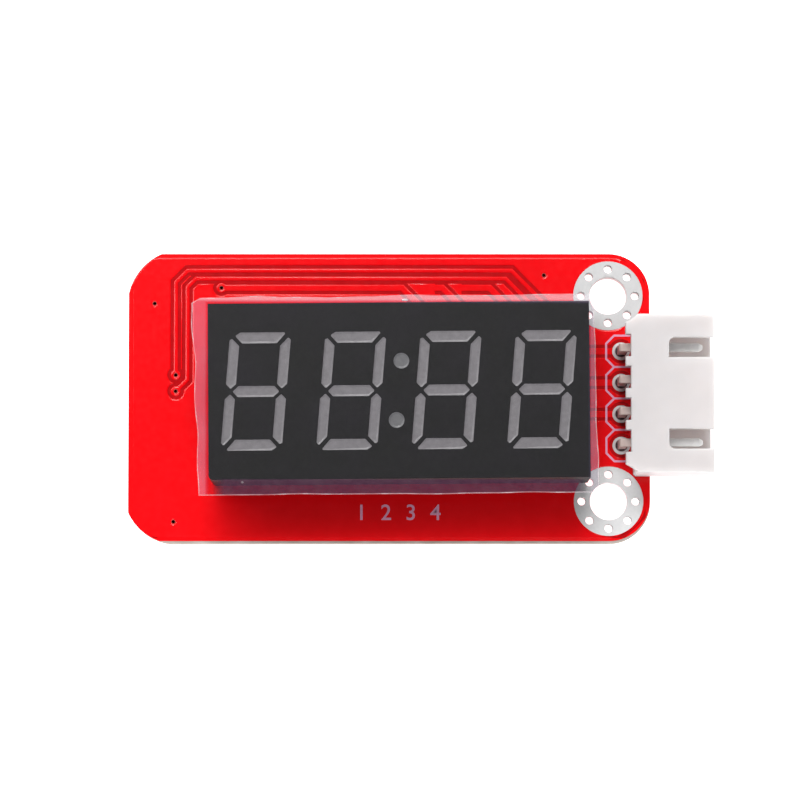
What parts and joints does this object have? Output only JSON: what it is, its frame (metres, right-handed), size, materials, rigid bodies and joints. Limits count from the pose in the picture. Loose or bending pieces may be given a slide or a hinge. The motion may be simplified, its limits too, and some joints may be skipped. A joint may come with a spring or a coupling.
{
  "type": "seven segment display module",
  "caption": "Clock display of leaning seven segment digits with a colon, soldered on a red circuit board with a keyed side plug socket and tinned screw holes.",
  "frame": {"origin": "middle of the outline seen from above, at the underside of the driver chip, which is the lowest point", "axes": "+X along the digits towards the mouth of the plug socket, +Y towards the top of the digits, +Z out of the face of the display"},
  "size_m": [0.0468, 0.0234, 0.0116],
  "materials": {
    "laminate": "routed glass fibre laminate edge",
    "red_mask": "glossy red solder mask",
    "white_print": "thin screen printed ink",
    "tinned_copper": "levelled tin",
    "bare_copper": "plated copper",
    "black_housing": "satin moulded black",
    "grey_lens": "diffusing epoxy, unlit",
    "dark_lens": "diffusing epoxy, unlit",
    "emitter": "semiconductor die",
    "inner_board": "thin green laminate",
    "potting": "cast epoxy",
    "pin_metal": "tin plated wire",
    "solder": "bright solder",
    "clear_film": "clear peel-off film with a light haze",
    "white_nylon": "natural moulded nylon",
    "chip_epoxy": "fine matt moulding compound",
    "white_ceramic": "fired alumina",
    "resistor_glaze": "black glaze",
    "tan_ceramic": "fired ceramic"
  },
  "bodies": {
    "root": {"board_core": "laminate", "solder_mask_front": "red_mask", "solder_mask_back": "red_mask", "silkscreen_front": "white_print", "mounting_ring_upper": "tinned_copper", "mounting_ring_lower": "tinned_copper", "signal_vias": "bare_copper", "socket_pads": "tinned_copper", "display_pads": "tinned_copper", "display_housing": "black_housing", "segment_lenses_digit_1": "grey_lens", "segment_lenses_digit_2": "grey_lens", "segment_lenses_digit_3": "grey_lens", "segment_lenses_digit_4": "grey_lens", "colon_lenses": "dark_lens", "led_dies": "emitter", "display_substrate": "inner_board", "potting_epoxy": "potting", "display_pins": "pin_metal", "display_solder_joints": "solder", "protective_film": "clear_film", "socket_housing": "white_nylon", "socket_pin_1": "pin_metal", "socket_pin_2": "pin_metal", "socket_pin_3": "pin_metal", "socket_pin_4": "pin_metal", "socket_solder_joints": "solder", "driver_chip": "chip_epoxy", "driver_chip_leads": "pin_metal", "driver_chip_pads": "solder", "pull_up_resistors": "white_ceramic", "resistor_coatings": "resistor_glaze", "resistor_end_caps": "solder", "capacitors": "tan_ceramic", "capacitor_end_caps": "solder", "chip_component_pads": "solder"}
  },
  "joints": []
}
